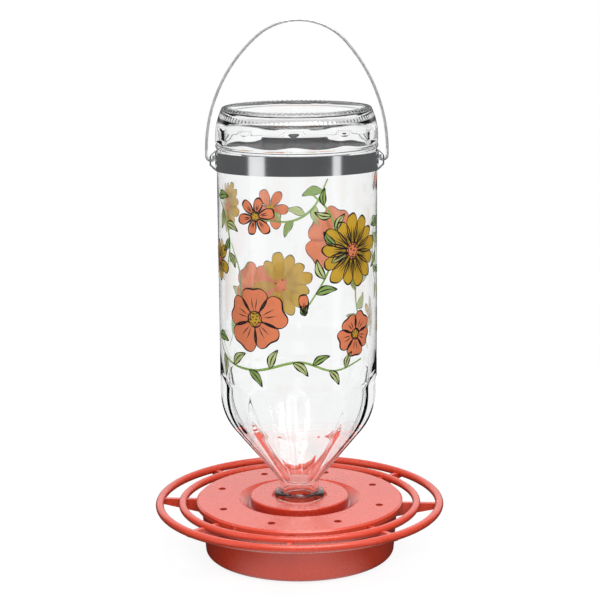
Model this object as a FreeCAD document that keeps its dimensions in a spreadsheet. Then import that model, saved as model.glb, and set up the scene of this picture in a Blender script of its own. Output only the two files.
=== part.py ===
"""Hanging nectar feeder: a glass bottle screwed mouth down into a red feeding base.

Millimetres and degrees. +Z is up and the feeder is seen from -Y. The origin is the centre of the
bowl's flat underside, on the bottle's axis. Each piece is a body of its own, driven by the sheet.
"""
import FreeCAD, Part
import math
import os

import Sketcher

# Driving sizes: name, value.
DRIVING = {
    # Bowl that holds the nectar
    "bowl_height": 30.0,
    "bowl_rim_radius": 57.4,
    "bowl_taper": 2.2,
    "bowl_wall": 2.0,
    "bowl_floor": 2.2,
    "foot_round": 2.6,
    "bowl_turn": -4.4,
    # Perch rings and the ribs that carry them
    "outer_ring_gap": 13.3,
    "outer_ring_rod": 4.7,
    "inner_ring_gap": 10.9,
    "inner_ring_rod": 4.5,
    "ring_drop": 0.4,
    "rib_drop": 0.3,
    "rib_count": 8,
    "rib_thickness": 2.8,
    "rib_root_depth": 9.0,
    "rib_tip_depth": 3.0,
    # Feeding cover
    "cover_thickness": 2.0,
    "cover_overhang": 2.8,
    "rim_bevel": 1.0,
    "edge_bevel": 0.6,
    "lip_depth": 1.5,
    "lip_clearance": 0.4,
    "notch_clearance": 0.6,
    "crown_radius": 28.6,
    "crown_rise": 1.8,
    "trough_width": 7.0,
    "trough_depth": 3.9,
    "trough_floor_width": 1.2,
    "skirt_depth": 4.0,
    "skirt_wall": 1.6,
    "skirt_clearance": 0.3,
    "feed_hole_diameter": 4.4,
    "feed_hole_count": 8,
    "feed_hole_inset": 11.6,
    "feed_hole_turn": 30.5,
    "hole_clearance": 1.3,
    "bead_clearance": 0.4,
    "thread_clearance": 0.35,
    "collar_wall": 2.2,
    "collar_overlap": 1.0,
    "nub_radius": 1.5,
    "nub_inset": 0.7,
    "nub_drop": 0.5,
    "nub_turn": 236.8,
    # Glass bottle
    "bead_sink": 1.6,
    "finish_radius": 12.7,
    "thread_rise": 1.1,
    "bore_radius": 9.0,
    "lip_round": 0.8,
    "bead_round": 1.6,
    "finish_height": 15.7,
    "bead_radius": 14.5,
    "bead_height": 4.4,
    "neck_radius": 11.5,
    "neck_height": 5.2,
    "neck_fillet": 4.0,
    "flute_start": 2.0,
    "shoulder_height": 64.5,
    "shoulder_ridge": 1.4,
    "shoulder_curve": 38.0,
    "shoulder_top_band": 7.4,
    "panel_radius": 45.0,
    "panel_height": 130.8,
    "panel_step": 1.2,
    "heel_height": 22.9,
    "heel_ridge": 2.2,
    "heel_land": 2.0,
    "land_rise": 0.6,
    "heel_straight": 6.5,
    "bearing_inset": 2.8,
    "bearing_width": 4.6,
    "bearing_round": 1.4,
    "push_up": 6.5,
    "glass_wall": 2.6,
    "shoulder_wall": 4.6,
    "base_glass": 4.0,
    "heel_inner_round": 9.0,
    "flute_count": 10,
    "bottle_turn": -2.0,
    # Strap round the heel with its two ears
    "strap_height": 10.5,
    "strap_thickness": 0.5,
    "strap_clearance": 0.45,
    "strap_drop": 7.1,
    "strap_tilt": -2.1,
    "lap_length": 14.0,
    "ear_reach": 2.9,
    "ear_flat": 5.0,
    "ear_width": 8.0,
    "ear_edge": 0.6,
    # Wire bail
    "wire_diameter": 1.6,
    "eye_clearance": 0.3,
    "bail_gap": 5.7,
    "bail_rise": 77.6,
    "bail_top_curve": 35.0,
    "bail_straight": 5.0,
    "bail_bend": 2.5,
    "bail_lean": 1.3,
    "hook_bend": 1.0,
    "hook_length": 2.7,
    "hook_inset": 1.7,
}


class Size:
    """A number that keeps its sheet expression beside its present value."""

    def __init__(self, text, value):
        self.text = text
        self.value = float(value)

    @staticmethod
    def of(other):
        return other if isinstance(other, Size) else Size(repr(float(other)), other)

    def joined(self, other, sign, value):
        return Size(f"({self.text} {sign} {Size.of(other).text})", value)

    def __add__(self, other):
        return self.joined(other, "+", self.value + Size.of(other).value)

    def __sub__(self, other):
        return self.joined(other, "-", self.value - Size.of(other).value)

    def __mul__(self, other):
        return self.joined(other, "*", self.value * Size.of(other).value)

    def __truediv__(self, other):
        return self.joined(other, "/", self.value / Size.of(other).value)

    def __rtruediv__(self, other):
        return Size.of(other) / self

    def __neg__(self):
        return Size(f"(-1 * {self.text})", -self.value)

    def __rmul__(self, other):
        return Size.of(other) * self

    def cosine(self):
        return Size(f"cos({self.text})", math.cos(math.radians(self.value)))

    def tangent(self):
        return Size(f"tan({self.text})", math.tan(math.radians(self.value)))

    def sine(self):
        return Size(f"sin({self.text})", math.sin(math.radians(self.value)))


class Sheet:
    """The spreadsheet of driving sizes, read by alias as Size values."""

    def __init__(self, document, driving):
        self.cells = document.addObject("Spreadsheet::Sheet", "Sizes")
        for row, (alias, value) in enumerate(driving.items(), start=1):
            self.cells.set(f"A{row}", alias.replace("_", " "))
            self.cells.set(f"B{row}", str(value))
            self.cells.setAlias(f"B{row}", alias)
        document.recompute()

    def __getattr__(self, alias):
        return Size(f"Sizes.{alias}", self.cells.get(alias))


class Outline:
    """A chain of lines and arcs in a sketch; a corner given as a Size is pinned by the sheet.

    A coordinate given as a plain number is only a start value: that corner is a smooth one,
    and tangency places it.
    """

    def __init__(self, sketch, x, z):
        self.sketch = sketch
        self.start = (x, z)
        self.at = (x, z)
        self.edges = []
        self.smooth = []

    def reach(self, x, z):
        ends = [FreeCAD.Vector(Size.of(a).value, Size.of(b).value, 0) for a, b in (self.at, (x, z))]
        self.at = (x, z)
        return ends

    def line(self, x, z, smooth=False):
        first, last = self.reach(x, z)
        index = self.sketch.addGeometry(Part.LineSegment(first, last), False)
        self.edges.append((index, 1, 2, (x, z)))
        self.smooth.append(smooth)
        return self

    def arc(self, x, z, radius, left=True, smooth=False, pin_radius=True):
        """An arc to (x, z); left says that it turns left as it is followed."""
        first, last = self.reach(x, z)
        chord = last - first
        size = max(Size.of(radius).value, chord.Length / 2)
        offset = math.sqrt(max(size ** 2 - (chord.Length / 2) ** 2, 0))
        side = FreeCAD.Vector(-chord.y, chord.x, 0).normalize() * (offset if left else -offset)
        centre = (first + last) / 2 + side
        angles = [math.atan2(p.y - centre.y, p.x - centre.x) for p in (first, last)]
        if not left:
            angles.reverse()
        circle = Part.Circle(centre, FreeCAD.Vector(0, 0, 1), size)
        index = self.sketch.addGeometry(Part.ArcOfCircle(circle, angles[0], angles[1]), False)
        if pin_radius:
            bind(self.sketch, Sketcher.Constraint("Radius", index, size), radius)
        self.edges.append((index, 1, 2, (x, z)) if left else (index, 2, 1, (x, z)))
        self.smooth.append(smooth)
        return self

    def finish(self, closed=True):
        """Join the edges end to start and pin their corners."""
        if closed:
            last = self.edges[-1]
            self.edges[-1] = (last[0], last[1], last[2], self.start)
        for place, (index, _, end, corner_at) in enumerate(self.edges):
            following = place + 1
            if following == len(self.edges):
                if not closed:
                    pin(self.sketch, index, end, corner_at)
                    continue
                following = 0
            joint = "Tangent" if self.smooth[place] else "Coincident"
            after = self.edges[following]
            self.sketch.addConstraint(Sketcher.Constraint(joint, index, end, after[0], after[1]))
            pin(self.sketch, index, end, corner_at)
        if not closed:
            pin(self.sketch, self.edges[0][0], self.edges[0][1], self.start)
        if self.sketch.solve() != 0:
            raise RuntimeError(f"the sketch {self.sketch.Name} doesn't solve")


def bind(sketch, constraint, size):
    """Add a dimension to a sketch and tie it to the sheet."""
    index = sketch.addConstraint(constraint)
    sketch.setExpression(f"Constraints[{index}]", Size.of(size).text)


def pin(sketch, edge, corner, corner_at):
    """Hold a corner, or a circle's centre, where Size coordinates say; others stay free."""
    for kind, axis, value in (("DistanceX", -2, corner_at[0]), ("DistanceY", -1, corner_at[1])):
        if not isinstance(value, Size):
            continue
        if abs(value.value) < 1e-9:
            sketch.addConstraint(Sketcher.Constraint("PointOnObject", edge, corner, axis))
        elif value.value > 0:
            bind(sketch, Sketcher.Constraint(kind, -1, 1, edge, corner, value.value), value)
        else:
            bind(sketch, Sketcher.Constraint(kind, edge, corner, -1, 1, -value.value), -value)


def tie(feature, **sizes):
    """Tie properties of a feature to the sheet."""
    for name, size in sizes.items():
        feature.setExpression(name, Size.of(size).text)


def new_body(document, name):
    body = document.addObject("PartDesign::Body", name)
    body.Label = name
    return body


def datum(body, role):
    return next(item for item in body.Origin.OriginFeatures if item.Role == role)


def new_sketch(body, name, plane="XZ_Plane", lift=None):
    """A sketch on one of the body's own planes, raised off it by lift."""
    sketch = body.newObject("Sketcher::SketchObject", name)
    sketch.AttachmentSupport = [(datum(body, plane), "")]
    sketch.MapMode = "FlatFace"
    if lift is not None:
        sketch.setExpression(".AttachmentOffset.Base.z", lift.text)
    body.Document.recompute()
    return sketch


def turned(body, name, kind, sketch):
    """A full turn of a sketch round the body's Z axis, added or cut away."""
    feature = body.newObject(f"PartDesign::{kind}", name)
    feature.Profile = sketch
    feature.ReferenceAxis = (sketch, ["V_Axis"])
    feature.Angle = 360
    sketch.Visibility = False
    body.Document.recompute()
    return feature


def patterned(body, name, original, count):
    """Copies of a feature spaced evenly round the body's Z axis."""
    pattern = body.newObject("PartDesign::PolarPattern", name)
    pattern.Originals = [original]
    pattern.Axis = (datum(body, "Z_Axis"), [""])
    pattern.Angle = 360
    tie(pattern, Occurrences=count)
    body.Tip = pattern
    body.Document.recompute()
    return pattern


def both_ways(body, name, kind, sketch, length):
    """A pad or pocket that runs the same length to each side of its sketch."""
    feature = body.newObject(f"PartDesign::{kind}", name)
    feature.Profile = sketch
    feature.SideType = "Symmetric"
    tie(feature, Length=length)
    sketch.Visibility = False
    body.Document.recompute()
    return feature


def circle_at(sketch, x, z, diameter):
    """A circle of a sized diameter with its centre held at (x, z)."""
    ring = Part.Circle(FreeCAD.Vector(x.value, z.value, 0), FreeCAD.Vector(0, 0, 1),
                       diameter.value / 2)
    index = sketch.addGeometry(ring, False)
    bind(sketch, Sketcher.Constraint("Diameter", index, diameter.value), diameter)
    pin(sketch, index, 3, (x, z))


def touch_point(centre_x, centre_z, radius, from_x, from_z):
    """Start values for where a line from a point below touches the right side of an arc."""
    across = (from_x - centre_x).value
    up = (from_z - centre_z).value
    angle = math.atan2(up, across) + math.acos(min(radius.value / math.hypot(across, up), 1))
    return (centre_x.value + radius.value * math.cos(angle),
            centre_z.value + radius.value * math.sin(angle))


document = FreeCAD.newDocument("feeder")
sheet = Sheet(document, DRIVING)
zero = Size("0", 0)

# Levels that several pieces share.
cover_top = sheet.bowl_height + sheet.cover_thickness
crown_top = cover_top + sheet.crown_rise
ring_level = sheet.bowl_height - sheet.ring_drop
bead_bottom = crown_top - sheet.bead_sink
mouth_level = bead_bottom - sheet.finish_height
bead_top = bead_bottom + sheet.bead_height
neck_top = bead_top + sheet.neck_height
panel_bottom = neck_top + sheet.shoulder_height
shoulder_top = panel_bottom - sheet.shoulder_top_band
panel_top = panel_bottom + sheet.panel_height
bottle_top = panel_top + sheet.heel_height
strap_level = panel_top - sheet.strap_drop

# The flat face of a flute lies this share of the ridge's radius from the axis.
flute_share = (180 / sheet.flute_count).cosine()

# Radii of the base, all set out from the bowl's rim.
bowl_foot_radius = sheet.bowl_rim_radius - sheet.bowl_taper
bowl_inner_radius = sheet.bowl_rim_radius - sheet.bowl_wall
inner_ring_radius = sheet.bowl_rim_radius + sheet.inner_ring_gap
outer_ring_radius = inner_ring_radius + sheet.outer_ring_gap
cover_radius = sheet.bowl_rim_radius + sheet.cover_overhang
feed_circle_radius = cover_radius - sheet.feed_hole_inset
trough_radius = sheet.crown_radius + sheet.trough_width

# Radii of the bottle and the strap, all set out from the label panel.
shoulder_radius = sheet.panel_radius + sheet.shoulder_ridge
heel_radius = sheet.panel_radius + sheet.heel_ridge
land_radius = sheet.panel_radius + sheet.land_rise
bearing_radius = sheet.panel_radius - sheet.bearing_inset
strap_inner = sheet.panel_radius + sheet.strap_clearance
strap_outer = strap_inner + sheet.strap_thickness


def make_bowl():
    """The nectar bowl, moulded in one with its ribs and two perch rings."""
    body = new_body(document, "bowl")
    tie(body, **{"Placement.Rotation.Angle": sheet.bowl_turn})

    section = new_sketch(body, "bowl_section")
    block = Outline(section, zero, zero)
    block.line(bowl_foot_radius - sheet.foot_round, zero, smooth=True)
    block.arc(bowl_foot_radius.value, sheet.foot_round.value, sheet.foot_round, smooth=True)
    block.line(sheet.bowl_rim_radius, sheet.bowl_height)
    block.line(zero, sheet.bowl_height)
    block.line(zero, zero)
    block.finish()
    turned(body, "bowl_block", "Revolution", section)

    rib_sketch = new_sketch(body, "rib_side")
    root = bowl_foot_radius - sheet.bowl_wall
    rib_top = sheet.bowl_height - sheet.rib_drop
    rib = Outline(rib_sketch, root, rib_top)
    rib.line(root, rib_top - sheet.rib_root_depth)
    rib.line(outer_ring_radius, rib_top - sheet.rib_tip_depth)
    rib.line(outer_ring_radius, rib_top)
    rib.line(root, rib_top)
    rib.finish()
    pad = both_ways(body, "rib", "Pad", rib_sketch, sheet.rib_thickness)
    patterned(body, "ribs", pad, sheet.rib_count)

    ring_sketch = new_sketch(body, "ring_sections")
    circle_at(ring_sketch, outer_ring_radius, ring_level, sheet.outer_ring_rod)
    circle_at(ring_sketch, inner_ring_radius, ring_level, sheet.inner_ring_rod)
    turned(body, "perch_rings", "Revolution", ring_sketch)

    hollow = new_sketch(body, "hollow_section")
    floor_edge = bowl_foot_radius - sheet.bowl_wall - sheet.foot_round
    brim = sheet.bowl_height + sheet.ring_drop
    inside = Outline(hollow, zero, sheet.bowl_floor)
    inside.line(floor_edge, sheet.bowl_floor, smooth=True)
    inside.arc((floor_edge + sheet.foot_round).value, (sheet.bowl_floor + sheet.foot_round).value,
               sheet.foot_round, smooth=True)
    inside.line(bowl_inner_radius, sheet.bowl_height)
    inside.line(bowl_inner_radius, brim)
    inside.line(zero, brim)
    inside.line(zero, sheet.bowl_floor)
    inside.finish()
    turned(body, "bowl_hollow", "Groove", hollow)
    return body


def make_cover():
    """The feeding cover: plate with a lip, trough, raised crown, skirt and the bottle's collar."""
    body = new_body(document, "cover")
    tie(body, **{"Placement.Rotation.Angle": sheet.bowl_turn})
    thick = sheet.cover_thickness
    bevel = sheet.edge_bevel
    trough_bottom = cover_top - sheet.trough_depth
    trough_foot = sheet.crown_radius + sheet.trough_floor_width
    bowl_draft = (sheet.bowl_rim_radius - bowl_foot_radius) / sheet.bowl_height
    skirt_outer = bowl_inner_radius - bowl_draft * sheet.skirt_depth - sheet.skirt_clearance
    skirt_bottom = sheet.bowl_height - sheet.skirt_depth
    lip_inner = sheet.bowl_rim_radius + sheet.lip_clearance
    lip_bottom = sheet.bowl_height - sheet.lip_depth
    collar_bore = sheet.finish_radius + sheet.thread_rise + sheet.thread_clearance
    collar_outer = collar_bore + sheet.collar_wall
    collar_bottom = mouth_level - sheet.collar_overlap
    neck_hole = sheet.bead_radius + sheet.hole_clearance
    seat = bead_bottom - sheet.bead_clearance

    section = new_sketch(body, "cover_section")
    plate = Outline(section, collar_bore, collar_bottom)
    plate.line(collar_outer, collar_bottom)
    plate.line(collar_outer, seat - thick)
    plate.line(neck_hole + thick, seat - thick)
    plate.line(neck_hole + thick, crown_top - thick)
    plate.line(sheet.crown_radius - thick, crown_top - thick)
    plate.line(sheet.crown_radius - thick, trough_bottom - thick)
    plate.line(trough_foot + thick / 2, trough_bottom - thick)
    plate.line(trough_radius + thick / 2, sheet.bowl_height)
    plate.line(skirt_outer - sheet.skirt_wall, sheet.bowl_height)
    plate.line(skirt_outer - sheet.skirt_wall, skirt_bottom)
    plate.line(skirt_outer, skirt_bottom)
    plate.line(skirt_outer, sheet.bowl_height)
    plate.line(lip_inner, sheet.bowl_height)
    plate.line(lip_inner, lip_bottom)
    plate.line(cover_radius, lip_bottom)
    plate.line(cover_radius, cover_top - sheet.rim_bevel)
    plate.line(cover_radius - sheet.rim_bevel, cover_top)
    plate.line(trough_radius, cover_top)
    plate.line(trough_foot, trough_bottom)
    plate.line(sheet.crown_radius, trough_bottom)
    plate.line(sheet.crown_radius, crown_top - bevel)
    plate.line(sheet.crown_radius - bevel, crown_top)
    plate.line(neck_hole + bevel, crown_top)
    plate.line(neck_hole, crown_top - bevel)
    plate.line(neck_hole, seat)
    plate.line(collar_bore, seat)
    plate.line(collar_bore, collar_bottom)
    plate.finish()
    turned(body, "cover_plate", "Revolution", section)

    notch_side = new_sketch(body, "notch_side")
    notch = Outline(notch_side, sheet.bowl_rim_radius, lip_bottom)
    notch.line(cover_radius + thick, lip_bottom)
    notch.line(cover_radius + thick, sheet.bowl_height)
    notch.line(sheet.bowl_rim_radius, sheet.bowl_height)
    notch.line(sheet.bowl_rim_radius, lip_bottom)
    notch.finish()
    notch_width = sheet.rib_thickness + sheet.notch_clearance * 2
    cut = both_ways(body, "rib_notch", "Pocket", notch_side, notch_width)
    patterned(body, "rib_notches", cut, sheet.rib_count)

    nub_sketch = new_sketch(body, "nub_place", "XY_Plane", lift=lip_bottom)
    nub_reach = cover_radius - sheet.nub_inset
    circle_at(nub_sketch, nub_reach * sheet.nub_turn.cosine(), nub_reach * sheet.nub_turn.sine(),
              sheet.nub_radius * 2)
    nub = body.newObject("PartDesign::Pad", "nub")
    nub.Profile = nub_sketch
    tie(nub, Length=sheet.lip_depth + thick - sheet.nub_drop)
    document.recompute()

    hole_sketch = new_sketch(body, "feed_hole_place", "XY_Plane", lift=cover_top)
    circle_at(hole_sketch, feed_circle_radius * sheet.feed_hole_turn.cosine(),
              feed_circle_radius * sheet.feed_hole_turn.sine(), sheet.feed_hole_diameter)
    hole = body.newObject("PartDesign::Pocket", "feed_hole")
    hole.Profile = hole_sketch
    tie(hole, Length=thick * 2)
    document.recompute()
    patterned(body, "feed_holes", hole, sheet.feed_hole_count)
    return body


def shoulder_path(outline, near_x, top_x, radius, wall):
    """The shoulder's side, from the neck's fillet up to where it stands upright."""
    centre_x = top_x - radius
    touch = touch_point(centre_x, shoulder_top, radius, near_x, neck_top)
    fillet = sheet.neck_fillet + wall
    lean = math.atan2(touch[0] - near_x.value, touch[1] - neck_top.value)
    outline.arc(near_x.value + fillet.value * (1 - math.cos(lean)),
                neck_top.value + fillet.value * math.sin(lean), fillet, left=False, smooth=True)
    outline.line(touch[0], touch[1], smooth=True)
    outline.arc(top_x, shoulder_top, radius, smooth=True)


def make_bottle():
    """The glass bottle, mouth down, with ten flat flutes on its shoulder and on its heel."""
    body = new_body(document, "bottle")
    tie(body, **{"Placement.Rotation.Angle": sheet.bottle_turn})
    heel_bend = panel_top + sheet.heel_straight
    bearing_start = bottle_top - sheet.bearing_round
    bearing_inner = bearing_radius - sheet.bearing_width
    step = sheet.panel_step
    bead_face = sheet.bead_radius - sheet.bead_round

    section = new_sketch(body, "outer_section")
    outer = Outline(section, zero, mouth_level)
    outer.line(sheet.finish_radius - sheet.lip_round, mouth_level)
    outer.arc(sheet.finish_radius, mouth_level + sheet.lip_round, sheet.lip_round)
    outer.line(sheet.finish_radius, bead_bottom)
    outer.line(bead_face, bead_bottom)
    outer.arc(sheet.bead_radius, bead_bottom + sheet.bead_round, sheet.bead_round)
    outer.line(sheet.bead_radius, bead_top - sheet.bead_round)
    outer.arc(bead_face, bead_top, sheet.bead_round)
    outer.line(sheet.neck_radius, bead_top)
    outer.line(sheet.neck_radius, neck_top, smooth=True)
    shoulder_path(outer, sheet.neck_radius, shoulder_radius, sheet.shoulder_curve, zero)
    outer.line(shoulder_radius, panel_bottom - step)
    outer.line(sheet.panel_radius, panel_bottom)
    outer.line(sheet.panel_radius, panel_top)
    land_top = panel_top + step + sheet.heel_land
    outer.line(land_radius, panel_top + step)
    outer.line(land_radius, land_top)
    outer.line(heel_radius, land_top + step)
    outer.line(heel_radius, heel_bend, smooth=True)
    heel_in = heel_radius - bearing_radius
    heel_up = bearing_start - heel_bend
    outer.arc(bearing_radius, bearing_start,
              (heel_in * heel_in + heel_up * heel_up) / (heel_in * 2), pin_radius=False)
    outer.arc(bearing_radius - sheet.bearing_round, bottle_top, sheet.bearing_round)
    outer.line(bearing_inner, bottle_top)
    outer.arc(zero, bottle_top - sheet.push_up, dome_radius(bearing_inner, sheet.push_up),
              left=False)
    outer.line(zero, mouth_level)
    outer.finish()
    turned(body, "glass_block", "Revolution", section)

    shoulder_side = new_sketch(body, "shoulder_flute_side")
    flat = shoulder_radius * flute_share
    clear = heel_radius + sheet.glass_wall
    cut = Outline(shoulder_side, sheet.neck_radius, neck_top)
    flute_foot = neck_top + sheet.flute_start
    cut.line(sheet.neck_radius, flute_foot)
    centre_x = flat - sheet.shoulder_curve
    touch = touch_point(centre_x, shoulder_top, sheet.shoulder_curve, sheet.neck_radius, flute_foot)
    cut.line(touch[0], touch[1], smooth=True)
    cut.arc(flat, shoulder_top, sheet.shoulder_curve, smooth=True)
    cut.line(flat, panel_bottom - step)
    cut.line(sheet.panel_radius, panel_bottom)
    cut.line(clear, panel_bottom)
    cut.line(clear, neck_top)
    cut.line(sheet.neck_radius, neck_top)
    cut.finish()
    flute_width = clear * 2 * (180 / sheet.flute_count).tangent()
    shoulder_flute = both_ways(body, "shoulder_flute", "Pocket", shoulder_side, flute_width)
    patterned(body, "shoulder_flutes", shoulder_flute, sheet.flute_count)

    heel_side = new_sketch(body, "heel_flute_side")
    heel_flat = heel_radius * flute_share
    fade_in = heel_flat - bearing_radius
    cut = Outline(heel_side, land_radius, land_top)
    cut.line(heel_flat, land_top + step)
    cut.line(heel_flat, heel_bend, smooth=True)
    cut.arc(bearing_radius, bearing_start,
            (fade_in * fade_in + heel_up * heel_up) / (fade_in * 2), pin_radius=False)
    cut.line(clear, bearing_start)
    cut.line(clear, land_top)
    cut.line(land_radius, land_top)
    cut.finish()
    heel_flute = both_ways(body, "heel_flute", "Pocket", heel_side, flute_width)
    patterned(body, "heel_flutes", heel_flute, sheet.flute_count)

    cavity_section = new_sketch(body, "cavity_section")
    inner_radius = sheet.panel_radius - sheet.glass_wall
    inner_shoulder = shoulder_radius - sheet.shoulder_wall
    below_mouth = mouth_level - sheet.lip_round
    ceiling = bottle_top - sheet.base_glass
    dome_edge = inner_radius - sheet.heel_inner_round
    cavity = Outline(cavity_section, zero, below_mouth)
    cavity.line(sheet.bore_radius, below_mouth)
    cavity.line(sheet.bore_radius, neck_top, smooth=True)
    shoulder_path(cavity, sheet.bore_radius, inner_shoulder,
                  sheet.shoulder_curve - sheet.shoulder_wall, sheet.neck_radius - sheet.bore_radius)
    cavity.line(inner_shoulder, panel_bottom - step)
    cavity.line(inner_radius, panel_bottom + step)
    cavity.line(inner_radius, ceiling - sheet.heel_inner_round)
    cavity.arc(dome_edge, ceiling, sheet.heel_inner_round)
    cavity.arc(zero, ceiling - sheet.push_up, dome_radius(dome_edge, sheet.push_up), left=False)
    cavity.line(zero, below_mouth)
    cavity.finish()
    turned(body, "cavity", "Groove", cavity_section)
    return body


def dome_radius(half_width, depth):
    """The radius of a dome with this half width and depth."""
    return (half_width * half_width + depth * depth) / (depth * 2)


def make_band():
    """The steel strap round the bottle, with a pierced ear pressed out at each side."""
    body = new_body(document, "band")
    body.Placement.Rotation = FreeCAD.Rotation(FreeCAD.Vector(1, 0, 0), 1)
    tie(body, **{"Placement.Base.z": strap_level, "Placement.Rotation.Angle": sheet.strap_tilt})
    half_height = sheet.strap_height / 2

    section = new_sketch(body, "strap_section")
    strap = Outline(section, strap_inner, -half_height)
    strap.line(strap_outer, -half_height)
    strap.line(strap_outer, half_height)
    strap.line(strap_inner, half_height)
    strap.line(strap_inner, -half_height)
    strap.finish()
    turned(body, "strap", "Revolution", section)

    lap_section = new_sketch(body, "lap_section", "YZ_Plane")
    lap_outer = strap_outer + sheet.strap_thickness
    lap = Outline(lap_section, strap_outer, -half_height)
    lap.line(lap_outer, -half_height)
    lap.line(lap_outer, half_height)
    lap.line(strap_outer, half_height)
    lap.line(strap_outer, -half_height)
    lap.finish()
    overlap = turned(body, "lap", "Revolution", lap_section)
    overlap.Midplane = True
    tie(overlap, Angle=sheet.lap_length / strap_outer * (180 / math.pi))

    window_side = new_sketch(body, "window_side")
    window_half = half_height - sheet.ear_edge
    window_in = strap_inner - sheet.ear_width
    window = Outline(window_side, window_in, -window_half)
    window.line(strap_outer + sheet.strap_thickness, -window_half)
    window.line(strap_outer + sheet.strap_thickness, window_half)
    window.line(window_in, window_half)
    window.line(window_in, -window_half)
    window.finish()
    opening = both_ways(body, "window", "Pocket", window_side, sheet.ear_width)
    patterned(body, "windows", opening, Size("2", 2))

    ear_side = new_sketch(body, "ear_side")
    ear_in = strap_inner + sheet.ear_reach
    ear_out = strap_outer + sheet.ear_reach
    flat_half = sheet.ear_flat / 2
    ear = Outline(ear_side, strap_inner, -half_height)
    ear.line(strap_outer, -half_height)
    ear.line(ear_out, -flat_half)
    ear.line(ear_out, flat_half)
    ear.line(strap_outer, half_height)
    ear.line(strap_inner, half_height)
    ear.line(ear_in, flat_half)
    ear.line(ear_in, -flat_half)
    ear.line(strap_inner, -half_height)
    ear.finish()
    pressed = both_ways(body, "ear", "Pad", ear_side, sheet.ear_width)
    patterned(body, "ears", pressed, Size("2", 2))

    eye_place = new_sketch(body, "eye_place", "YZ_Plane")
    circle_at(eye_place, zero, zero, sheet.wire_diameter + sheet.eye_clearance * 2)
    eye_reach = ear_out * 2 + sheet.ear_reach
    both_ways(body, "eyes", "Pocket", eye_place, eye_reach)
    return body


def make_bail():
    """The bent wire bail; its inturned ends hook up behind the strap's ears."""
    body = new_body(document, "bail")
    tie(body, **{"Placement.Base.z": strap_level})
    half = sheet.panel_radius + sheet.bail_gap
    bend = sheet.bail_bend
    hook = sheet.hook_bend
    tail = sheet.panel_radius + sheet.hook_inset
    crown_z = sheet.bail_rise - sheet.bail_top_curve

    def flank(side):
        """Radius and upper end of the long arc of one flank, as start values."""
        span = half.value - side * sheet.bail_lean.value
        up = crown_z.value - sheet.bail_straight.value
        top = sheet.bail_top_curve.value
        radius = (span ** 2 + up ** 2 - top ** 2) / (2 * (span - top))
        across = radius - span
        reach = math.hypot(across, up)
        touch_x = sheet.bail_lean.value + side * top * across / reach
        return radius, touch_x, crown_z.value + top * up / reach

    path_sketch = new_sketch(body, "wire_path")
    left_radius, left_x, left_z = flank(-1)
    right_radius, right_x, right_z = flank(1)
    path = Outline(path_sketch, -tail, sheet.hook_length)
    path.line(-tail, hook)
    path.arc(-(tail + hook), zero, hook, left=False)
    path.line(-(half - bend), zero)
    path.arc(-half, bend, bend, left=False)
    path.line(-half, sheet.bail_straight, smooth=True)
    path.arc(left_x, left_z, left_radius, left=False, smooth=True, pin_radius=False)
    path.arc(right_x, right_z, sheet.bail_top_curve, left=False, smooth=True)
    crown = path.edges[-1][0]
    path.arc(half, sheet.bail_straight, right_radius, left=False, smooth=True, pin_radius=False)
    path.line(half, bend)
    path.arc(half - bend, zero, bend, left=False)
    path.line(tail + hook, zero)
    path.arc(tail, hook, hook, left=False)
    path.line(tail, sheet.hook_length)
    lean = sheet.bail_lean
    bind(path_sketch, Sketcher.Constraint("DistanceX", -1, 1, crown, 3, lean.value), lean)
    bind(path_sketch, Sketcher.Constraint("DistanceY", -1, 1, crown, 3, crown_z.value), crown_z)
    path.finish(closed=False)

    wire_section = new_sketch(body, "wire_section", "XY_Plane", lift=sheet.hook_length)
    ring = Part.Circle(FreeCAD.Vector(-tail.value, 0, 0), FreeCAD.Vector(0, 0, 1),
                       sheet.wire_diameter.value / 2)
    index = wire_section.addGeometry(ring, False)
    wire_section.addConstraint(Sketcher.Constraint("PointOnObject", index, 3, -1))
    bind(wire_section, Sketcher.Constraint("DistanceX", index, 3, -1, 1, tail.value), tail)
    diameter = sheet.wire_diameter
    bind(wire_section, Sketcher.Constraint("Diameter", index, diameter.value), diameter)
    wire = body.newObject("PartDesign::AdditivePipe", "wire")
    wire.Profile = wire_section
    wire.Spine = (path_sketch, [])
    wire.Mode = "Standard"
    document.recompute()
    return body


pieces = [make_bowl(), make_cover(), make_bottle(), make_band(), make_bail()]
document.recompute()

for item in document.Objects:
    if "Invalid" in item.State or "Error" in item.State:
        raise RuntimeError(f"{item.Label} failed: {item.State}")
    if item.TypeId == "Sketcher::SketchObject" and not item.FullyConstrained:
        raise RuntimeError(f"the sketch {item.Label} has a loose dimension")

os.makedirs("parts", exist_ok=True)
for piece in pieces:
    shape = piece.Shape
    if shape.isNull() or not shape.isValid() or len(shape.Solids) != 1:
        raise RuntimeError(f"{piece.Label} is not one sound solid")
    shape.exportStep(f"parts/{piece.Label}.step")
    box = shape.BoundBox
    print(f"{piece.Label}: {shape.Volume / 1000:.2f} ml, z {box.ZMin:.2f} to {box.ZMax:.2f},"
          f" x {box.XMin:.2f} to {box.XMax:.2f}")
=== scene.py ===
"""Studio picture of a hanging nectar feeder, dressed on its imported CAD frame.

The glass bottle stands mouth down in a coral feeding base, under a steel strap and a wire bail.
The pieces' sizes are millimetres, which become metres where a mesh is made. Finishes and the
studio are in metres throughout.
"""

import logging
import math
from dataclasses import dataclass, field
from enum import Enum
from typing import Iterable, Sequence

import bmesh
import bpy
import numpy as np
from mathutils import Matrix, Vector

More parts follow.
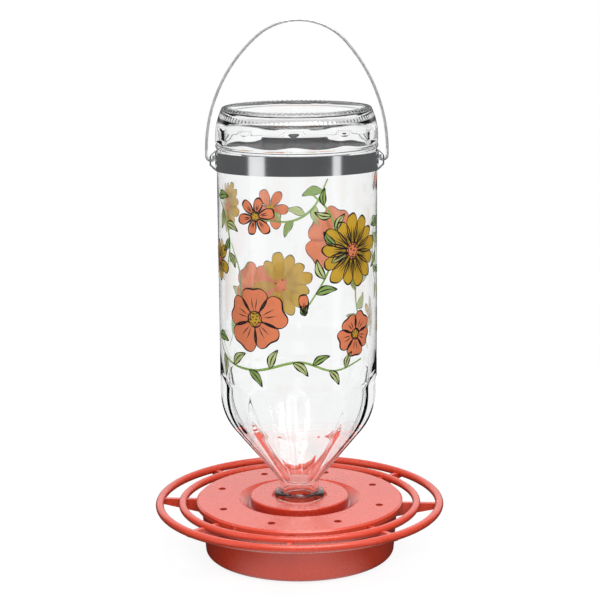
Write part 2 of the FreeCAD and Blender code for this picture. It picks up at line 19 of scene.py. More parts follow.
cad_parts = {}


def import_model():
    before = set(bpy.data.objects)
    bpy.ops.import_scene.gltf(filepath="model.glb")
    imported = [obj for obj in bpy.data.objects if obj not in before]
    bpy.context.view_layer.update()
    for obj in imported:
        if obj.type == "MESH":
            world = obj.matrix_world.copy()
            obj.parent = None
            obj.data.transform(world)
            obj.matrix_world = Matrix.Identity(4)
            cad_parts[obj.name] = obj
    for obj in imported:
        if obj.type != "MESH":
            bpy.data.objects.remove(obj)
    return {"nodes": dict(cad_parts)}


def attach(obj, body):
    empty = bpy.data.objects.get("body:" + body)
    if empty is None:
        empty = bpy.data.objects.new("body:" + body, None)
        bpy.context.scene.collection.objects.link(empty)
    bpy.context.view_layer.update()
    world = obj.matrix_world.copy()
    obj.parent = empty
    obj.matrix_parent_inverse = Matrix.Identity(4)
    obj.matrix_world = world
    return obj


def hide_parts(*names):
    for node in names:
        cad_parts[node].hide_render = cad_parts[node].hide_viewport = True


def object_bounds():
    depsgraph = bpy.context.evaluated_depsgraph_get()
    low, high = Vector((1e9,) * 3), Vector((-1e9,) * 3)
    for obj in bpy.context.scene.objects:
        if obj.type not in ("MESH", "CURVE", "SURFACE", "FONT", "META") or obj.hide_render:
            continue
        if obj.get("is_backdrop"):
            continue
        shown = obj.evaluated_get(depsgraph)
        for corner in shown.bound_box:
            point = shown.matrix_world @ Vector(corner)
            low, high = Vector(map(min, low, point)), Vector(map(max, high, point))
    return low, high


log = logging.getLogger("feeder")
MM = 0.001
TURN = 2 * math.pi
# metres within which two points of a mesh are one
SAME_PLACE = 1e-6
# degrees from one seed of a flower's heart to the next
SEED_TURN = 137.5


class Value:
    """A socket of a node tree that takes part in Python expressions."""

    def __init__(self, graph: "Graph", socket: bpy.types.NodeSocket) -> None:
        """Wrap one output socket.

        Args:
            graph: The node tree that the socket belongs to.
            socket: The output socket.
        """
        self.graph = graph
        self.socket = socket

    def _joined(self, operation: str, other: object, swapped: bool = False) -> "Value":
        """Join this socket with another value by a Math, Vector Math or Mix node.

        Args:
            operation: ADD, SUBTRACT, MULTIPLY or DIVIDE.
            other: A Value, a number, a colour or a vector.
            swapped: Whether the other value stands first.

        Returns:
            The result as a new Value.
        """
        first, second = (other, self) if swapped else (self, other)
        kinds = {item.socket.type for item in (first, second) if isinstance(item, Value)}
        if "RGBA" in kinds:
            return self.graph.value(
                "ShaderNodeMix", {"data_type": "RGBA", "blend_type": operation},
                {0: 1.0, 6: first, 7: second}, output=2)
        if "VECTOR" in kinds:
            return self.graph.value(
                "ShaderNodeVectorMath", {"operation": operation}, {0: first, 1: second})
        return self.graph.value("ShaderNodeMath", {"operation": operation}, {0: first, 1: second})

    def __add__(self, other: object) -> "Value":
        """Sum."""
        return self._joined("ADD", other)

    def __radd__(self, other: object) -> "Value":
        """Reflected sum."""
        return self._joined("ADD", other, swapped=True)

    def __sub__(self, other: object) -> "Value":
        """Difference."""
        return self._joined("SUBTRACT", other)

    def __rsub__(self, other: object) -> "Value":
        """Reflected difference, so that 1 - mask works."""
        return self._joined("SUBTRACT", other, swapped=True)

    def __mul__(self, other: object) -> "Value":
        """Product."""
        return self._joined("MULTIPLY", other)

    def __rmul__(self, other: object) -> "Value":
        """Reflected product."""
        return self._joined("MULTIPLY", other, swapped=True)

    def __truediv__(self, other: object) -> "Value":
        """Quotient."""
        return self._joined("DIVIDE", other)

    def __rtruediv__(self, other: object) -> "Value":
        """Reflected quotient."""
        return self._joined("DIVIDE", other, swapped=True)

    def root(self) -> "Value":
        """Square root."""
        return self.graph.value("ShaderNodeMath", {"operation": "SQRT"}, {0: self})

    def size(self) -> "Value":
        """Absolute value."""
        return self.graph.value("ShaderNodeMath", {"operation": "ABSOLUTE"}, {0: self})

    def most(self, other: object) -> "Value":
        """The greater of this value and another."""
        return self.graph.value("ShaderNodeMath", {"operation": "MAXIMUM"}, {0: self, 1: other})

    def ramp(self, low: float, high: float) -> "Value":
        """A smooth step from 0, at low, to 1, at high, which may lie below low."""
        return self.graph.value("ShaderNodeMapRange", {"interpolation_type": "SMOOTHSTEP"},
                                {"Value": self, "From Min": low, "From Max": high})

    def blend(self, dark: object, light: object) -> "Value":
        """A colour that goes from dark, where this value is 0, to light, where it is 1."""
        return self.graph.value(
            "ShaderNodeMix", {"data_type": "RGBA"}, {0: self, 6: dark, 7: light}, output=2)

    def parts(self) -> tuple["Value", "Value", "Value"]:
        """The x, y and z of a vector."""
        split = self.graph.node("ShaderNodeSeparateXYZ", inputs={0: self})
        return tuple(Value(self.graph, socket) for socket in split.outputs)


class Graph:
    """A node tree whose nodes are made from a type, settings and inputs."""

    def __init__(self, tree: bpy.types.NodeTree) -> None:
        """Start from an empty tree.

        Args:
            tree: The node tree of a material or of the world.
        """
        self.tree = tree
        tree.nodes.clear()

    def node(self, kind: str, settings: dict | None = None,
             inputs: dict | None = None) -> bpy.types.Node:
        """Make one node.

        Args:
            kind: The node's Blender type.
            settings: Attributes to set before anything is linked.
            inputs: Values or links by socket name or number.

        Returns:
            The new node.
        """
        made = self.tree.nodes.new(kind)
        for name, setting in (settings or {}).items():
            setattr(made, name, setting)
        for key, item in (inputs or {}).items():
            target = made.inputs[key]
            if isinstance(item, Value):
                self.tree.links.new(item.socket, target)
            elif target.type == "RGBA" and isinstance(item, Sequence):
                target.default_value = (*item[:3], 1.0)
            else:
                target.default_value = item
        return made

    def value(self, kind: str, settings: dict | None = None, inputs: dict | None = None,
              output: int | str = 0) -> Value:
        """Make one node and give one of its outputs.

        Args:
            kind: The node's Blender type.
            settings: Attributes to set before anything is linked.
            inputs: Values or links by socket name or number.
            output: The name or number of the output.

        Returns:
            That output as a Value.
        """
        return Value(self, self.node(kind, settings, inputs).outputs[output])

    def place(self) -> Value:
        """The shaded point in the feeder's own frame, in metres."""
        return self.value("ShaderNodeTexCoord", output="Object")

    def noise(self, scale: float, detail: float = 3.0,
              stretch: Sequence[float] = (1, 1, 1)) -> Value:
        """Smooth noise from 0 to 1.

        Args:
            scale: Waves in each metre.
            detail: Octaves.
            stretch: A factor on each axis of the place.

        Returns:
            The noise.
        """
        return self.value("ShaderNodeTexNoise", {}, {
            "Vector": self.place() * tuple(stretch), "Scale": scale, "Detail": detail})

    def bump(self, height: Value, strength: float, distance: float) -> Value:
        """The surface's normal, roughened by a height.

        Args:
            height: The height from 0 to 1.
            strength: How much of the roughening shows.
            distance: The real height of 1, in metres.

        Returns:
            The normal.
        """
        return self.value("ShaderNodeBump", {}, {
            "Height": height, "Strength": strength, "Distance": distance})

    def ray(self, kind: str) -> Value:
        """What Light Path says of the ray that looks, such as Is Glossy Ray."""
        return self.value("ShaderNodeLightPath", output=kind)

    def finish(self, shader: Value, output: str = "ShaderNodeOutputMaterial") -> None:
        """Link the last shader to the tree's output."""
        self.node(output, inputs={"Surface": shader})


class Finish:
    """A surface finish that becomes one Blender material.

    In every finish a scale is the number of waves in each metre.
    """

    name: str

    def shader(self, graph: Graph) -> Value:
        """Build the finish's nodes and give its shader."""
        raise NotImplementedError

    def material(self) -> bpy.types.Material:
        """Make the finish's material once.

        Returns:
            The material, which pieces of one finish share.
        """
        found = bpy.data.materials.get(self.name)
        if found:
            return found
        made = bpy.data.materials.new(self.name)
        made.use_nodes = True
        graph = Graph(made.node_tree)
        graph.finish(self.shader(graph))
        return made


@dataclass(frozen=True)
class CoralPlastic(Finish):
    """Satin coral moulding plastic, a little worn, with a fine moulded grain."""

    name: str
    colour: tuple[float, float, float] = (0.70, 0.058, 0.024)
    faded: tuple[float, float, float] = (0.73, 0.072, 0.034)
    # painted shade: the colour that nooks and creases darken to
    deep: tuple[float, float, float] = (0.40, 0.024, 0.010)
    roughness: float = 0.28
    nook_shade_reach: float = 0.008
    cloud_scale: float = 26.0
    scuff_scale: float = 420.0
    grain_scale: float = 2600.0
    grain_height: float = 0.00002

    def shader(self, graph: Graph) -> Value:
        """Mottled colour with painted shade that darkens the nooks, scuffed gloss and a fine grain.

        Args:
            graph: The material's empty node tree.

        Returns:
            The shader.
        """
        cloud = graph.noise(self.cloud_scale, detail=2.0)
        scuff = graph.noise(self.scuff_scale, detail=2.0)
        grain = graph.noise(self.grain_scale, detail=2.0)
        # painted shade: ambient occlusion darkens the nooks and creases towards the deep colour
        painted_shade_openness = graph.value("ShaderNodeAmbientOcclusion", {"samples": 8, "only_local": True},
                               {"Distance": self.nook_shade_reach}, output="AO")
        skin = cloud.ramp(0.32, 0.7).blend(self.colour, self.faded)
        return graph.value("ShaderNodeBsdfPrincipled", {}, {
            "Base Color": painted_shade_openness.ramp(0.35, 0.95).blend(self.deep, skin),
            "Roughness": scuff * 0.03 + cloud * 0.04 + (self.roughness - 0.04),
            "IOR": 1.52,
            "Coat Weight": 0.5,
            "Coat Roughness": 0.22,
            "Subsurface Weight": 0.08,
            "Subsurface Radius": (0.003, 0.0006, 0.0004),
            "Normal": graph.bump(grain, 0.06, self.grain_height)})


@dataclass(frozen=True)
class ClearGlass(Finish):
    """Clear container glass with faint waves."""

    name: str = "clear_container_glass"
    face_tint: tuple[float, float, float] = (0.996, 1.0, 1.0)
    edge_painted_shade: tuple[float, float, float] = (0.78, 0.80, 0.81)
    shadow_tint: tuple[float, float, float] = (0.94, 0.955, 0.955)
    wave_scale: float = 34.0
    ripple_scale: float = 110.0
    wave_height: float = 0.0004

    def shader(self, graph: Graph) -> Value:
        """Refracting glass with painted shade where it is seen edge on, that lets light through.

        Args:
            graph: The material's empty node tree.

        Returns:
            The shader.
        """
        waves = graph.noise(self.wave_scale, detail=1.0, stretch=(1, 1, 0.45))
        ripple = graph.noise(self.ripple_scale, detail=1.0, stretch=(1, 1, 0.35))
        # painted shade: the glass's colour darkens where it is seen edge on, standing in for dark
        # edges
        edge = graph.value("ShaderNodeLayerWeight", {}, {"Blend": 0.28}, output="Facing")
        glass = graph.value("ShaderNodeBsdfPrincipled", {}, {
            "Base Color": edge.ramp(0.55, 1.0).blend(self.face_tint, self.edge_painted_shade),
            "Roughness": 0.01, "IOR": 1.5, "Transmission Weight": 1.0,
            "Normal": graph.bump(waves * 0.4 + ripple * 0.06, 0.5, self.wave_height)})
        through = graph.value("ShaderNodeBsdfTransparent", {}, {"Color": self.shadow_tint})
        shadow = graph.ray("Is Shadow Ray")
        return graph.value("ShaderNodeMixShader", {}, {0: shadow, 1: glass, 2: through})


@dataclass(frozen=True)
class StripSteel(Finish):
    """Bright rolled steel strip with fine lines along its length."""

    name: str = "rolled_strip_steel"
    colour: tuple[float, float, float] = (0.72, 0.73, 0.74)
    pale: tuple[float, float, float] = (0.79, 0.80, 0.80)
    # painted shade: the dark colour of the strap's side that faces the glass
    inside: tuple[float, float, float] = (0.17, 0.17, 0.18)
    inside_radius: float = 0.0457
    line_scale: float = 240.0
    cloud_scale: float = 70.0
    line_height: float = 0.00003

    def shader(self, graph: Graph) -> Value:
        """Metal whose rolling lines run round the bottle, with painted shade on the side to the
        glass.

        Args:
            graph: The material's empty node tree.

        Returns:
            The shader.
        """
        x, y, _ = graph.place().parts()
        # painted shade: the side towards the glass is darkened
        outside = (x * x + y * y).root().ramp(self.inside_radius - 0.0001, self.inside_radius)
        lines = graph.noise(self.line_scale, stretch=(0.12, 0.12, 14.0))
        cloud = graph.noise(self.cloud_scale)
        return graph.value("ShaderNodeBsdfPrincipled", {}, {
            "Base Color": outside.blend(
                self.inside, cloud.ramp(0.3, 0.75).blend(self.colour, self.pale)),
            "Metallic": 1.0,
            "Roughness": lines * 0.08 + cloud * 0.06 + 0.06,
            "Normal": graph.bump(lines, 0.25, self.line_height)})


@dataclass(frozen=True)
class ZincWire(Finish):
    """Drawn wire with a dull zinc skin."""

    name: str = "galvanised_wire"
    colour: tuple[float, float, float] = (0.66, 0.67, 0.68)
    pale: tuple[float, float, float] = (0.84, 0.85, 0.86)
    patch_scale: float = 520.0
    line_scale: float = 1500.0
    line_height: float = 0.00003

    def shader(self, graph: Graph) -> Value:
        """Metal with pale and dark zinc patches.

        Args:
            graph: The material's empty node tree.

        Returns:
            The shader.
        """
        patches = graph.noise(self.patch_scale)
        drawn = graph.noise(self.line_scale, detail=2.0, stretch=(1, 1, 0.2))
        return graph.value("ShaderNodeBsdfPrincipled", {}, {
            "Base Color": patches.ramp(0.3, 0.7).blend(self.colour, self.pale),
            "Metallic": 0.7,
            "Roughness": patches * 0.16 + 0.32,
            "Normal": graph.bump(drawn, 0.3, self.line_height)})


@dataclass(frozen=True)
class EnamelInk(Finish):
    """Fired enamel on the glass: opaque from outside, dimly lit through from behind."""

    name: str
    colour: tuple[float, float, float]
    lit_through: float = 0.30
    thin: float = 0.88
    cloud_scale: float = 260.0

    def shader(self, graph: Graph) -> Value:
        """Flat ink with the slight cloudiness of a screen print.

        Args:
            graph: The material's empty node tree.

        Returns:
            The shader.
        """
        cloud = graph.noise(self.cloud_scale)
        dark = tuple(part * self.thin for part in self.colour)
        tone = cloud.ramp(0.25, 0.65).blend(dark, self.colour)
        ink = graph.value("ShaderNodeBsdfPrincipled", {}, {
            "Base Color": tone, "Roughness": cloud * 0.15 + 0.3, "IOR": 1.45})
        behind = graph.value("ShaderNodeBsdfTranslucent", {}, {"Color": self.colour})
        return graph.value("ShaderNodeMixShader", {}, {0: self.lit_through, 1: ink, 2: behind})


@dataclass(frozen=True)
class StudioPaper(Finish):
    """The pale paper that the feeder stands on, lit up white where it is looked at.

    What shiny plastic mirrors of it is a painted reflection, bright in a patch before the feeder
    and dark beside it.
    """

    name: str = "studio_paper"
    colour: tuple[float, float, float] = (0.15, 0.15, 0.15)
    fleck: tuple[float, float, float] = (0.16, 0.16, 0.16)
    # painted reflection: the dark that shiny surfaces see beside the bright patch
    dark: tuple[float, float, float] = (0.03, 0.03, 0.03)
    glow: float = 0.87
    glow_in_glass: float = 1.08
    glow_in_bent_glass: float = 0.7
    painted_reflection_glow: float = 1.35
    reflection_patch_sides: tuple[float, float] = (0.075, 0.015)
    reflection_patch_start: tuple[float, float] = (-0.03, -0.055)
    fibre_scale: float = 900.0

    def shader(self, graph: Graph) -> Value:
        """Matt paper that stays white for the eye, takes a soft shadow and shows shiny parts a
        painted reflection, bright before the feeder.

        Args:
            graph: The material's empty node tree.

        Returns:
            The shader.
        """
        fibre = graph.noise(self.fibre_scale, detail=2.0)
        x, y, _ = graph.place().parts()
        # painted reflection: a glowing patch before the feeder that only shiny surfaces see, dark
        # beside it
        before = x.size().ramp(*self.reflection_patch_sides) * y.ramp(*self.reflection_patch_start)
        mirrored = graph.ray("Is Glossy Ray")
        bent = graph.ray("Transmission Depth").ramp(0.2, 0.8)
        seen = graph.ray("Is Camera Ray").most(
            graph.ray("Is Transmission Ray") * self.glow_in_glass)
        seen = seen.most(
            mirrored * (before * self.painted_reflection_glow + bent * self.glow_in_bent_glass))
        beside = mirrored * (1 - before)
        return graph.value("ShaderNodeBsdfPrincipled", {}, {
            "Base Color": beside.blend(fibre.blend(self.colour, self.fleck), self.dark),
            "Roughness": 0.9, "Specular IOR Level": 0.0,
            "Emission Color": seen * self.glow,
            "Emission Strength": 1.0})


@dataclass
class Shell:
    """Points and faces of one piece, in millimetres until it is made."""

    points: list[tuple[float, float, float]] = field(default_factory=list)
    faces: list[tuple[int, ...]] = field(default_factory=list)

    def grid(self, rows: Sequence[Sequence[Sequence[float]]],
             close_columns: bool = False) -> None:
        """Add a net of quads.

        Args:
            rows: The rows of points, all of one length.
            close_columns: Whether the last column joins the first.
        """
        base = len(self.points)
        width = len(rows[0])
        for row in rows:
            self.points.extend(tuple(point) for point in row)
        across = width if close_columns else width - 1
        for a in range(base, base + (len(rows) - 1) * width, width):
            b = a + width
            for j in range(across):
                k = (j + 1) % width
                self.faces.append((a + j, a + k, b + k, b + j))

    def fan(self, ring: Sequence[Sequence[float]], tip: Sequence[float],
            outward: bool = True) -> None:
        """Close a ring of points to one point.

        Args:
            ring: The points of the ring.
            tip: The point in the middle.
            outward: Whether the ring runs anticlockwise as seen from outside.
        """
        base = len(self.points)
        self.points.extend(tuple(point) for point in ring)
        self.points.append(tuple(tip))
        count = len(ring)
        for i in range(count):
            pair = (base + i, base + (i + 1) % count)
            self.faces.append((*(pair if outward else pair[::-1]), base + count))

    def zipped(self, low: Sequence[Sequence[float]], high: Sequence[Sequence[float]]) -> None:
        """Join two closed rings round the axis that differ in their number of points.

        Args:
            low: One ring.
            high: The other ring.
        """
        rings = []
        for ring in (low, high):
            base = len(self.points)
            self.points.extend(tuple(point) for point in ring)
            rings.append(sorted((math.atan2(point[1], point[0]) % TURN, base + k)
                                for k, point in enumerate(ring)))
        (a, b), i, j = rings, 0, 0
        a.append((a[0][0] + TURN, a[0][1]))
        b.append((b[0][0] + TURN, b[0][1]))
        while i + 1 < len(a) or j + 1 < len(b):
            along_low = j + 1 == len(b) or (i + 1 < len(a) and a[i + 1][0] <= b[j + 1][0])
            here, there = a[i][1], b[j][1]
            i, j = (i + 1, j) if along_low else (i, j + 1)
            self.faces.append((here, a[i][1] if along_low else b[j][1], there))

    def made(self, name: str, finish: Finish, body: str, slot: str,
             sharp: float = 30.0) -> bpy.types.Object:
        """Make the Blender object, dress it and let it ride on its body.

        Args:
            name: The piece's name.
            finish: Its finish.
            body: The CAD body that it moves with.
            slot: Not used.
            sharp: Edges sharper than this many degrees stay crisp.

        Returns:
            The object.
        """
        mesh = bpy.data.meshes.new(name)
        mesh.from_pydata([tuple(c * MM for c in point) for point in self.points], [], self.faces)
        mesh.update()
        mesh.polygons.foreach_set("use_smooth", [True] * len(mesh.polygons))
        mesh.set_sharp_from_angle(angle=math.radians(sharp))
        mesh.materials.append(finish.material())
        piece = bpy.data.objects.new(name, mesh)
        bpy.context.scene.collection.objects.link(piece)
        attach(piece, body)
        log.info("%s: %d faces on %s", name, len(mesh.polygons), body)
        return piece


def arc(centre: tuple[float, float], radius: float, start: float, end: float,
        steps: int) -> list[tuple[float, float]]:
    """Points along an arc of a profile.

    Args:
        centre: The arc's centre, as radius and height.
        radius: The arc's radius.
        start: The first point's angle in degrees.
        end: The last point's angle in degrees.
        steps: The number of spans.

    Returns:
        The points, ends included.
    """
    angles = np.radians(np.linspace(start, end, steps + 1))
    return [(centre[0] + radius * math.cos(a), centre[1] + radius * math.sin(a)) for a in angles]


def filled(points: Sequence[tuple[float, float]], span: float,
           most: int = 14) -> list[tuple[float, float]]:
    """Divide a profile's long spans.

    Args:
        points: The profile.
        span: The length that a part of a span should have.
        most: The most parts that one span is divided into.

    Returns:
        The profile with the added points.
    """
    out = [points[0]]
    for (x0, z0), (x1, z1) in zip(points, points[1:]):
        steps = min(most, max(1, math.ceil(math.hypot(x1 - x0, z1 - z0) / span)))
        out += [(x0 + (x1 - x0) * k / steps, z0 + (z1 - z0) * k / steps)
                for k in range(1, steps + 1)]
    return out


@dataclass
class Bottle:
    """The glass bottle, mouth down, with ten flat flutes on its shoulder and heel.

    A profile's points are a radius and a height. Angles are degrees.
    """

    # heights, from the mouth up
    mouth: float = 16.5
    bead_bottom: float = 32.2
    bead_top: float = 36.6
    neck_top: float = 41.8
    panel_bottom: float = 106.3
    panel_top: float = 237.1
    top: float = 260.0
    # the mouth, the bead and the neck
    lip: float = 0.8
    finish_radius: float = 12.7
    bore_radius: float = 9.0
    bead_radius: float = 14.5
    bead_round: float = 1.6
    neck_radius: float = 11.5
    neck_fillet: float = 4.0
    neck_bevel: float = 0.5
    # the shoulder and the label panel, with a low step between them
    flute_start: float = 2.0
    panel_radius: float = 45.0
    shoulder_radius: float = 46.4
    shoulder_curve: float = 38.0
    shoulder_band: float = 7.4
    panel_step: float = 1.2
    step_height: float = 2.4
    step_ease: float = 0.12
    step_foot: float = 0.8
    # the heel, with a low bead between it and the strap
    heel_radius: float = 47.0
    heel_flat: float = 45.5
    land_height: float = 2.6
    land_rise: float = 0.65
    ridge_climb: float = 3.2
    heel_straight: float = 6.5
    flute_end: float = 252.0
    # the knurled ring that it stands on, and the push-up inside it
    bearing_radius: float = 42.2
    bearing_width: float = 4.6
    bearing_round: float = 1.4
    bearing_dip: float = 0.3
    knurls: int = 90
    knurl_depth: float = 0.5
    push_up: float = 6.5
    # the glass's thickness and its unevenness
    wall: float = 2.6
    shoulder_wall: float = 4.6
    base_glass: float = 4.0
    inner_heel: float = 9.0
    widening: tuple[float, float, float] = (-4.0, 8.0, 16.0)
    ripple: float = 0.32
    thick_level: float = 238.4
    thick_half: float = 3.7
    thick_rise: float = 0.66
    # the flutes and how far their ridges are rounded, in degrees
    flutes: int = 10
    turn: float = -2.0
    ridge_round: float = 1.3
    heel_ridge_round: float = 7.0
    # the screw thread on the finish
    thread_start: float = 19.6
    thread_pitch: float = 4.2
    thread_turns: float = 1.75
    thread_rise: float = 1.1
    # how finely the mesh is divided
    flute_columns: int = 28
    knurl_columns: int = 8
    thread_columns: int = 72
    outer_span: float = 1.6
    inner_span: float = 2.4
    ridge_span: float = 0.35

    def shoulder(self, near: float, top_radius: float, curve: float, fillet: float,
                 start: float) -> list[tuple[float, float]]:
        """The shoulder's side: a fillet out of the neck, a cone and a round.

        Args:
            near: Radius at the neck.
            top_radius: Radius where the shoulder stands upright.
            curve: Radius of the upper round.
            fillet: Radius of the lower fillet, or 0.
            start: Height at which it leaves the neck.

        Returns:
            The profile from the neck to the upright part.
        """
        level = self.panel_bottom - self.shoulder_band
        low = (near + fillet, start)
        high = (top_radius - curve, level)
        reach = math.hypot(high[0] - low[0], high[1] - low[1])
        lean = math.degrees(math.asin((fillet + curve) / reach)
                            + math.atan2(high[0] - low[0], high[1] - low[1]))
        side = [(near, start)]
        if fillet:
            side = arc(low, fillet, 180, 180 - lean, 8)
        return side + arc(high, curve, -lean, 0, 26)

    def heel_arc(self, radius: float) -> list[tuple[float, float]]:
        """The heel's round, from its straight part to the ring that the bottle stands on.

        Args:
            radius: The heel's radius, over the ridges or at the flats.

        Returns:
            The round's profile.
        """
        bend = self.panel_top + self.heel_straight
        rise = self.top - self.bearing_round - bend
        run = radius - self.bearing_radius
        curve = (run * run + rise * rise) / (2 * run)
        return arc((radius - curve, bend), curve, 0, math.degrees(math.asin(rise / curve)), 16)

    def outer(self) -> list[tuple[float, float]]:
        """The outer profile over the ridges.

        Returns:
            The profile, from the mouth to the ring that the bottle stands on.
        """
        face = self.bead_radius - self.bead_round
        half = self.land_height / 2
        land_top = self.panel_top + self.land_height
        curve = (half ** 2 + self.land_rise ** 2) / (2 * self.land_rise)
        reach = math.degrees(math.asin(half / curve))
        ridge_start = [(self.panel_radius, land_top),
                       (self.heel_radius, land_top + self.ridge_climb)]
        return [
            *arc((self.finish_radius - self.lip, self.mouth + self.lip), self.lip, -90, 0, 4),
            (self.finish_radius, self.bead_bottom), (face, self.bead_bottom),
            *arc((face, self.bead_bottom + self.bead_round), self.bead_round, -90, 0, 7),
            *arc((face, self.bead_top - self.bead_round), self.bead_round, 0, 90, 7),
            (self.neck_radius + self.neck_bevel, self.bead_top),
            (self.neck_radius, self.bead_top + self.neck_bevel),
            *self.shoulder(self.neck_radius, self.shoulder_radius, self.shoulder_curve,
                           self.neck_fillet, self.neck_top),
            (self.shoulder_radius, self.panel_bottom - self.step_height - self.step_foot),
            (self.shoulder_radius - self.step_ease, self.panel_bottom - self.step_height),
            (self.panel_radius + self.step_ease, self.panel_bottom + 0.2),
            (self.panel_radius, self.panel_bottom + 1.0),
            *arc((self.panel_radius + self.land_rise - curve, self.panel_top + half), curve,
                 -reach, reach, 10),
            *filled(ridge_start, self.ridge_span)[1:], *self.heel_ridge()]

    def heel_ridge(self) -> list[tuple[float, float]]:
        """The heel's round over the ridges, which fade into it some way below the top.

        Returns:
            The round's profile.
        """
        bend = self.panel_top + self.heel_straight
        flats = self.heel_arc(self.heel_flat)
        out = []
        for (ridge, height), (flat, _) in zip(self.heel_arc(self.heel_radius), flats):
            gone = min(1.0, (height - bend) / (self.flute_end - bend))
            out.append((ridge + (flat - ridge) * gone ** 1.3, height))
        return out

    def bearing(self) -> list[list[tuple[float, float, float]]]:
        """The ring that the bottle stands on, notched between its knurls.

        Returns:
            The rings of points, from the heel in to the push-up.
        """
        inner = self.bearing_radius - self.bearing_width
        middle = self.bearing_radius - self.bearing_round
        profile = [*arc((middle, self.top - self.bearing_round), self.bearing_round, 8, 90, 7),
                   (middle - 0.7, self.top), (middle - 1.4, self.top), (inner + 0.8, self.top),
                   (inner, self.top - self.bearing_dip)]
        columns = self.knurls * self.knurl_columns
        angles = np.arange(columns) * TURN / columns
        notch = self.knurl_depth * (0.5 + 0.5 * np.cos(angles * self.knurls)) ** 1.5
        rows = []
        for k, (x, z) in enumerate(profile):
            (x0, z0), (x1, z1) = profile[max(k - 1, 0)], profile[min(k + 1, len(profile) - 1)]
            run = math.hypot(x1 - x0, z1 - z0)
            sink = notch * min(1.0, k / 2, (len(profile) - 1 - k) / 2)
            radii = x - sink * (z1 - z0) / run
            levels = z + sink * (x1 - x0) / run
            rows.append([(r * math.cos(a), r * math.sin(a), level)
                         for r, a, level in zip(radii, angles, levels)])
        return rows

    def inner(self) -> list[tuple[float, float]]:
        """The inner profile.

        Returns:
            The profile, from the mouth up to the push-up's edge.
        """
        radius = self.shoulder_radius - self.shoulder_wall
        wall = self.panel_radius - self.wall
        ceiling = self.top - self.base_glass
        edge = (wall - self.inner_heel, ceiling - self.inner_heel)
        start, nearly, end = (self.panel_bottom + level for level in self.widening)
        return [
            (self.bore_radius + self.lip, self.mouth),
            *arc((self.bore_radius + self.lip, self.mouth + self.lip), self.lip, 270, 180, 4),
            *self.shoulder(self.bore_radius, radius, self.shoulder_curve - self.shoulder_wall,
                           self.neck_fillet + self.neck_radius - self.bore_radius, self.neck_top),
            (radius + 0.04, start), (wall - 0.1, nearly), (wall, end), *self.thickening(wall),
            (wall, ceiling - self.inner_heel),
            *arc(edge, self.inner_heel, 0, 88, 12)]

    def thickening(self, wall: float) -> list[tuple[float, float]]:
        """The inside's swelling behind the strap, where the mould's halves left more glass.

        Args:
            wall: The inside's radius above and below it.

        Returns:
            The swelling's profile, from below upward.
        """
        spans = np.linspace(-2.2, 2.0, 15)
        return [(wall - self.thick_rise * math.exp(-t * t), self.thick_level + t * self.thick_half)
                for t in spans]

    def dome(self, edge: tuple[float, float], depth: float) -> list[tuple[float, float]]:
        """The push-up's dome.

        Args:
            edge: The dome's edge.
            depth: How far its middle lies below the edge.

        Returns:
            The profile after the edge, up to just short of the axis.
        """
        curve = (edge[0] ** 2 + depth ** 2) / (2 * depth)
        half = math.degrees(math.asin(edge[0] / curve))
        centre = (0.0, edge[1] - depth + curve)
        return arc(centre, curve, half - 90, -89.6, 18)[1:]

    def flat(self) -> tuple[np.ndarray, np.ndarray]:
        """The flutes' flat faces.

        Returns:
            Heights, and how far the faces are from the axis there.
        """
        share = math.cos(math.pi / self.flutes)
        foot = self.neck_top + self.flute_start
        low = self.shoulder(self.neck_radius, self.shoulder_radius * share, self.shoulder_curve,
                            0.0, foot)
        clear, abrupt = self.heel_radius + self.wall, 0.02
        land_top = self.panel_top + self.land_height
        points = [(clear, foot - abrupt), *low,
                  (self.shoulder_radius * share, self.panel_bottom - self.panel_step),
                  (self.panel_radius, self.panel_bottom),
                  (clear, self.panel_bottom + abrupt), (clear, land_top - abrupt),
                  (self.heel_flat, land_top), *self.heel_arc(self.heel_flat),
                  (clear, self.top - self.bearing_round + abrupt)]
        return np.array([p[1] for p in points]), np.array([p[0] for p in points])

    def columns(self) -> np.ndarray:
        """Place the mesh's columns, closer together beside each ridge.

        Returns:
            The columns' angles in radians.
        """
        half = math.pi / self.flutes
        even = np.linspace(-1, 1, self.flute_columns + 1)[:-1]
        spread = np.sign(even) * (1 - (1 - np.abs(even)) ** 1.5)
        centres = np.arange(self.flutes) * 2 * half + math.radians(self.turn)
        return np.concatenate([centre + spread * half for centre in centres])

    def ring(self, radius: float, height: float, angles: np.ndarray,
             flats: tuple[np.ndarray, np.ndarray] | None) -> list[tuple[float, float, float]]:
        """One ring of the wall, cut flat by the flutes where they reach.

        Args:
            radius: The ring's radius over the ridges.
            height: The ring's height.
            angles: The angles of its points.
            flats: The flutes' faces, or None on the smooth inside.

        Returns:
            The ring's points.
        """
        radii = np.full(len(angles), radius)
        if flats is None and radius > self.bore_radius + 2:
            radii += self.uneven(height, angles)
        if flats is not None:
            distance = float(np.interp(height, flats[0], flats[1]))
            half = math.pi / self.flutes
            off = (angles - math.radians(self.turn) + half) % (2 * half) - half
            ease = math.radians(
                self.ridge_round if height < self.panel_top else self.heel_ridge_round)
            near = half - np.sqrt((half - np.abs(off)) ** 2 + ease ** 2)
            cut = distance / np.cos(np.maximum(near, 0))
            radii = np.minimum(radii, cut)
        return [(r * math.cos(a), r * math.sin(a), height) for r, a in zip(radii, angles)]

    def uneven(self, height: float, angles: np.ndarray) -> np.ndarray:
        """How far the inside swells, as glass does that was blown into a fluted mould.

        Args:
            height: The ring's height.
            angles: The angles of its points.

        Returns:
            The swell at each angle.
        """
        local = angles - math.radians(self.turn)
        rise = (height - self.neck_top) / (self.panel_bottom - self.neck_top)
        fluted = math.exp(-((rise - 0.55) / 0.45) ** 2)
        heel = math.exp(-((height - self.panel_top - 8) / 8) ** 2)
        swell = (fluted + 0.1 * heel) * np.cos(self.flutes * local + math.pi)
